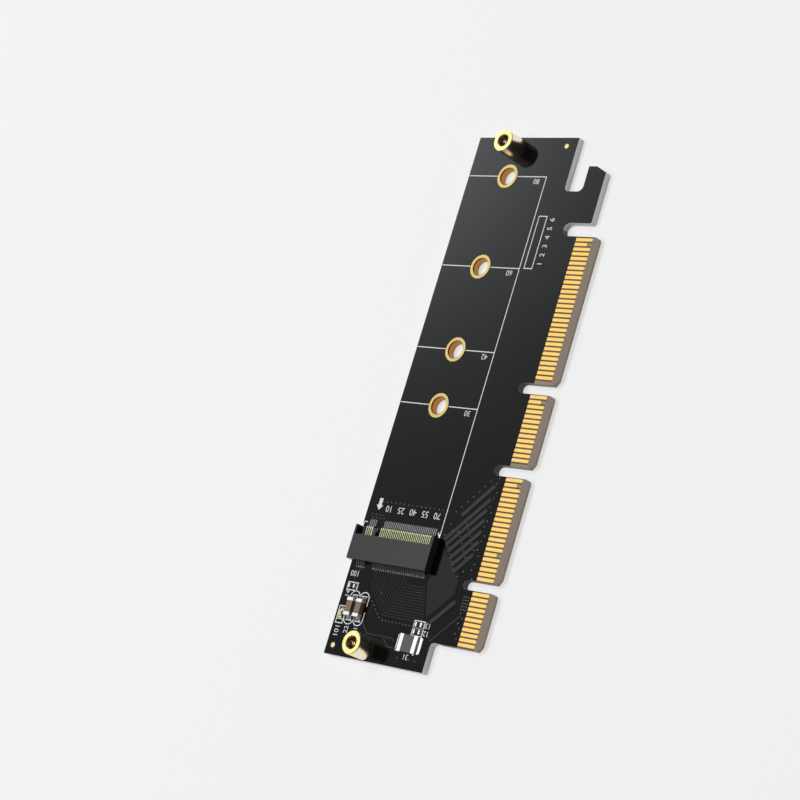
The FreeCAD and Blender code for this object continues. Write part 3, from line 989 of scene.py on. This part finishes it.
@dataclass(frozen=True)
class SocketDetail:
    """Comb walls between the sprung contacts, and the soldered tails before and behind the socket."""

    first_y: float = 19.15
    pitch: float = 0.5
    long_group: int = 29
    short_start: int = 33
    upper_short: int = 5
    lower_short: int = 4
    wall: float = 0.17
    comb_x: Point = (6.35, 7.95)
    comb_z: Point = (0.48, 0.74)
    comb_draft: float = 0.03
    front_pads_x: Point = (8.35, 9.95)
    rear_pads_x: Point = (-0.3, 0.85)
    pad_width: float = 0.24
    pad_high: float = 0.02
    front_tip_x: float = 9.66
    rear_tip_x: float = 0.04

    def rows(self, short_group: int, shift: float) -> list[float]:
        """Contact places of one row along Y."""
        steps = [*range(self.long_group), *range(self.short_start, self.short_start + short_group)]
        return [self.first_y + shift + self.pitch * step for step in steps]

    def build(self) -> None:
        """Make the comb, the tail pads and the solder on them."""
        upper, lower = self.rows(self.upper_short, 0.0), self.rows(self.lower_short, self.pitch / 2)
        comb, pads, solder = Relief(), Relief(), Relief()
        for y in [lower[0] - self.pitch] + lower + [lower[self.long_group - 1] + self.pitch]:
            self.bar(comb, self.comb_x, y + self.pitch / 2, self.wall, self.comb_z, self.comb_draft)
        comb.piece("socket_comb", Surface.COMB, "socket_plastic")
        for ys, span, tip_x, way in ((lower, self.front_pads_x, self.front_tip_x, 1),
                                     (upper, self.rear_pads_x, self.rear_tip_x, -1)):
            for y in ys:
                self.bar(pads, span, y, self.pad_width, (SUNK, self.pad_high))
                self.toe(solder, (tip_x, y), way)
        pads.piece("socket_tail_pads", Surface.TAIL, "tin")
        solder.piece("socket_tail_solder", Surface.TOE, "tin", smooth=True)

    def bar(self, relief: Relief, span: Point, y: float, width: float, heights: Point,
            inset: float = 0.0) -> None:
        """Lay one block along X, centred on its place along Y."""
        relief.prism(box_path((span[0], y - width / 2), (span[1], y + width / 2)),
                     heights[1], heights[0], inset)

    def toe(self, relief: Relief, tip: Point, way: int) -> None:
        """Small wedge of solder at the tip of one tail.

        Args:
            relief: The mesh to add to.
            tip: Where the tail ends.
            way: 1 if the tail points towards the hook, -1 if away.
        """
        x, y = tip
        profile = ((-0.05, None), (-0.05, 1.0), (0.08, 0.75), (0.18, 0.2), (0.24, None))
        relief.loft([[(x + way * reach, y + across, SUNK if share is None else lift * share)
                      for reach, share in profile]
                     for across, lift in ((-0.14, 0.03), (-0.1, 0.1), (0.0, 0.14), (0.1, 0.1), (0.14, 0.03))])


@dataclass(frozen=True)
class PillarThreads:
    """Screw threads cut in the two pillars, from the lead-in down to the end of the tap."""

    bore_r: float = 1.25
    depth: float = 3.7
    pitch: float = 0.5
    crest: float = 0.1
    top: float = 4.1
    steps: int = 36
    sunk: float = 0.03
    half_width: float = 0.21

    def build(self) -> None:
        """Make one helix for each pillar."""
        root, tip = self.bore_r + self.sunk, self.bore_r - self.crest
        for end in ("pin_end", "hook_end"):
            relief = Relief()
            x, y = CARD.centre_of("standoff_" + end)
            rings = []
            for i in range(int(self.depth / self.pitch * self.steps) + 1):
                angle, height = TURN * i / self.steps, self.top - self.pitch * i / self.steps
                ring = ((root, height - self.half_width), (tip, height), (root, height + self.half_width))
                rings.append([(x + r * math.cos(angle), y + r * math.sin(angle), h) for r, h in ring])
            relief.loft(rings)
            relief.piece("thread_" + end, Surface.THREAD, "brass", smooth=True)


# ---- Studio ----


@dataclass(frozen=True)
class Studio:
    """Pale floor and backdrop, a soft panel of light beyond the hook end, an overhead lamp and the camera."""

    floor_hex: str = "F4F4F4"
    floor_glow: float = 0.7
    backdrop_level: float = 0.92
    dome_level: float = 0.29
    behind_level: float = 0.04
    horizon_edge_deg: Point = (11.0, 20.0)
    panel_level: float = 2.7
    panel_way_deg: Point = (66.4, 38.1)
    panel_spread_deg: float = 5.2
    dark_behind: Point = (-0.45, 0.05)
    sky_tint: Colour = (0.965, 0.99, 1.0, 1.0)
    lamp_watts: float = 12.0
    lamp_size: Point = (1.2, 0.5)
    lamp_place: Triple = (0.05, 0.46, 1.16)
    floor_size: float = 6.0
    floor_z: float = -0.0001
    camera_mm: Triple = (-101.96, -335.85, 355.63)
    heading_deg: float = 18.789
    dip_deg: float = 42.291
    roll_deg: float = -59.907
    lens_mm: float = 113.08
    clip: Point = (0.01, 50.0)
    shift: Point = (0.00983, -0.151)

    def build(self) -> None:
        """Set up the floor, the lights and the camera."""
        self.floor()
        self.world()
        self.lamp()
        self.camera()

    def floor(self) -> None:
        """Flat pale sheet just under the card."""
        sheet = bmesh.new()
        bmesh.ops.create_grid(sheet, x_segments=8, y_segments=8, size=self.floor_size)
        data = bpy.data.meshes.new("studio_floor")
        sheet.to_mesh(data)
        sheet.free()
        floor = bpy.data.objects.new("studio_floor", data)
        floor.location.z = self.floor_z
        bpy.context.scene.collection.objects.link(floor)
        data.materials.append(self.floor_material())

    def floor_material(self) -> bpy.types.Material:
        """Matt white paper. Part of its paleness is its own where the camera or a mirror looks at it.

        Returns:
            The floor's material.
        """
        material = bpy.data.materials.new("matt_paper_floor")
        shader = Shader(material)
        paper = shader.add("BsdfDiffuse", {"Color": linear(self.floor_hex)})
        glow = shader.add("Emission", {"Strength": self.backdrop_level})
        ray = shader.add("LightPath").node.outputs
        mirrored = shader.add("Math.MAXIMUM", (ray["Is Glossy Ray"], ray["Is Transmission Ray"]))
        seen = shader.add("Math.MAXIMUM", (ray["Is Camera Ray"], mirrored))
        share = shader.add("Math.MULTIPLY", (seen, self.floor_glow))
        shader.add("OutputMaterial", {"Surface": shader.add("MixShader", (share, paper, glow))})
        return material

    def world(self) -> None:
        """Pale band round the horizon, a dim dome that is dark behind the camera, and one soft panel."""
        world = bpy.data.worlds.new("studio")
        shader = Shader(world, "Generated")
        azimuth, height = (math.radians(a) for a in self.panel_way_deg)
        towards = (math.cos(height) * math.cos(azimuth), math.cos(height) * math.sin(azimuth),
                   math.sin(height))
        near = shader.add("VectorMath.DOT_PRODUCT", (shader.coords, towards), "Value")
        near = shader.add("Math.MAXIMUM", (near, 0.0))
        sharpness = 2.0 / math.radians(self.panel_spread_deg) ** 2
        patch = shader.add("Math.POWER", (near, sharpness))
        across, rise = (shader.add("SeparateXYZ", (shader.coords,), axis) for axis in "YZ")
        full, none = (math.sin(math.radians(a)) for a in self.horizon_edge_deg)
        band = shader.add("MapRange", (rise, none, full), interpolation_type="SMOOTHSTEP")
        band = shader.add("Math.MULTIPLY", (band, self.backdrop_level))
        dome = shader.add("MapRange", (across, *self.dark_behind), interpolation_type="SMOOTHSTEP")
        dome = shader.add("Math.MULTIPLY_ADD", (dome, self.dome_level - self.behind_level, self.behind_level))
        around = shader.add("Math.MAXIMUM", (dome, band))
        level = shader.add("Math.MULTIPLY_ADD", (patch, self.panel_level, around))
        background = shader.add("Background", {"Color": self.sky_tint, "Strength": level})
        shader.add("OutputWorld", {"Surface": background})
        bpy.context.scene.world = world

    def lamp(self) -> None:
        """Soft oblong lamp overhead that faces the middle of the card."""
        light = bpy.data.lights.new("overhead", "AREA")
        light.shape, light.size, light.size_y, light.energy = "RECTANGLE", *self.lamp_size, self.lamp_watts
        lamp = bpy.data.objects.new("overhead", light)
        lamp.location = self.lamp_place
        lamp.rotation_euler = (-Vector(self.lamp_place)).to_track_quat("-Z", "Y").to_euler()
        bpy.context.scene.collection.objects.link(lamp)

    def camera(self) -> None:
        """Long lens that looks down along the card, turned on its side."""
        heading, dip, roll = (math.radians(a) for a in (self.heading_deg, self.dip_deg, self.roll_deg))
        forward = Vector((math.sin(heading) * math.cos(dip), math.cos(heading) * math.cos(dip),
                          -math.sin(dip)))
        level = forward.cross(Vector((0.0, 0.0, 1.0))).normalized()
        rise = level.cross(forward)
        right = math.cos(roll) * level + math.sin(roll) * rise
        up = -math.sin(roll) * level + math.cos(roll) * rise
        lens = bpy.data.cameras.new("viewpoint")
        lens.lens, lens.clip_start, lens.clip_end = self.lens_mm, *self.clip
        lens.shift_x, lens.shift_y = self.shift
        camera = bpy.data.objects.new("viewpoint", lens)
        place = Vector(self.camera_mm) * MM
        camera.matrix_world = Matrix.Translation(place) @ Matrix((right, up, -forward)).transposed().to_4x4()
        bpy.context.scene.collection.objects.link(camera)
        bpy.context.scene.camera = camera


def main() -> None:
    """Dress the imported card, add what is too fine for its solids, and set up the studio."""
    logging.basicConfig(level=logging.INFO, format="%(name)s: %(message)s")
    bpy.context.scene.view_settings.view_transform = "Standard"
    Studio().build()
    dress_nodes()
    for part in (Legend(), BuriedCopper(), Targets(), SolderJoints(), SocketDetail(), PillarThreads()):
        part.build()
        LOG.info("finished %s", type(part).__name__)


if __name__ == "__main__":
    main()
